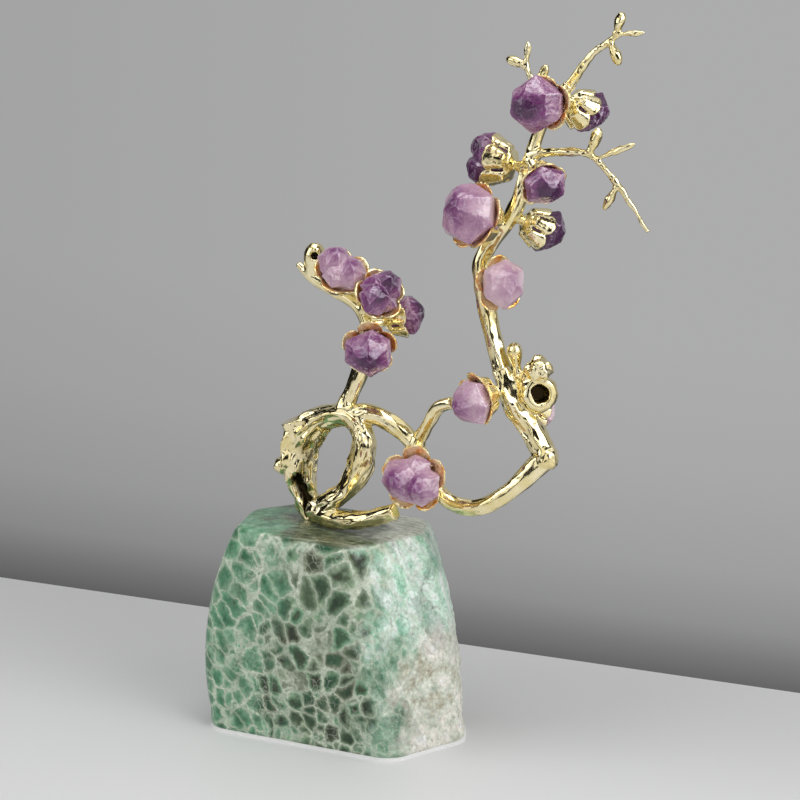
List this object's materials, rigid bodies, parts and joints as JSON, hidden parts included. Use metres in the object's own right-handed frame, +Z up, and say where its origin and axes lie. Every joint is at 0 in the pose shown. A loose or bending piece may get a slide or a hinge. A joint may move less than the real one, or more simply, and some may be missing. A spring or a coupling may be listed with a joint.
{
  "type": "gemstone tree ornament",
  "caption": "Table ornament: a gilt cast branch with looping trunk and petal cups holding rough amethyst points, pinned on a green fluorite block with a flat foot.",
  "frame": {"origin": "middle of the pad's underside", "axes": "+Z up, +X along the stone's long front towards the tall stem, -Y the ornament's front"},
  "size_m": [0.1587, 0.0627, 0.2557],
  "materials": {
    "gilt_brass": "polished gold-plated casting",
    "amethyst": "rough natural crystal, translucent violet",
    "fluorite": "tumbled green stone with pale veins",
    "pad": "thin soft white pad",
    "pin_steel": "plain pin"
  },
  "bodies": {
    "root": {"foot_pad": "pad", "stone_base": "fluorite", "root_dowel": "pin_steel", "trunk": "gilt_brass", "left_branch": "gilt_brass", "main_stem": "gilt_brass", "crown_twig": "gilt_brass", "crown_bud_twig": "gilt_brass", "side_twig": "gilt_brass", "cut_twig": "gilt_brass", "cup_crown_front": "gilt_brass", "cup_crown_back": "gilt_brass", "cup_upper_left": "gilt_brass", "cup_upper_right": "gilt_brass", "cup_mid_left": "gilt_brass", "cup_mid_right": "gilt_brass", "cup_mid_front": "gilt_brass", "cup_elbow_left": "gilt_brass", "cup_elbow_back": "gilt_brass", "cup_loop_front": "gilt_brass", "cup_left_tip": "gilt_brass", "cup_left_mid": "gilt_brass", "cup_left_back": "gilt_brass", "cup_left_low": "gilt_brass", "amethyst_crown_front": "amethyst", "amethyst_crown_back": "amethyst", "amethyst_upper_left": "amethyst", "amethyst_upper_right": "amethyst", "amethyst_mid_left": "amethyst", "amethyst_mid_right": "amethyst", "amethyst_mid_front": "amethyst", "amethyst_elbow_left": "amethyst", "amethyst_elbow_back": "amethyst", "amethyst_loop_front": "amethyst", "amethyst_left_tip": "amethyst", "amethyst_left_mid": "amethyst", "amethyst_left_back": "amethyst", "amethyst_left_low": "amethyst"}
  },
  "joints": []
}
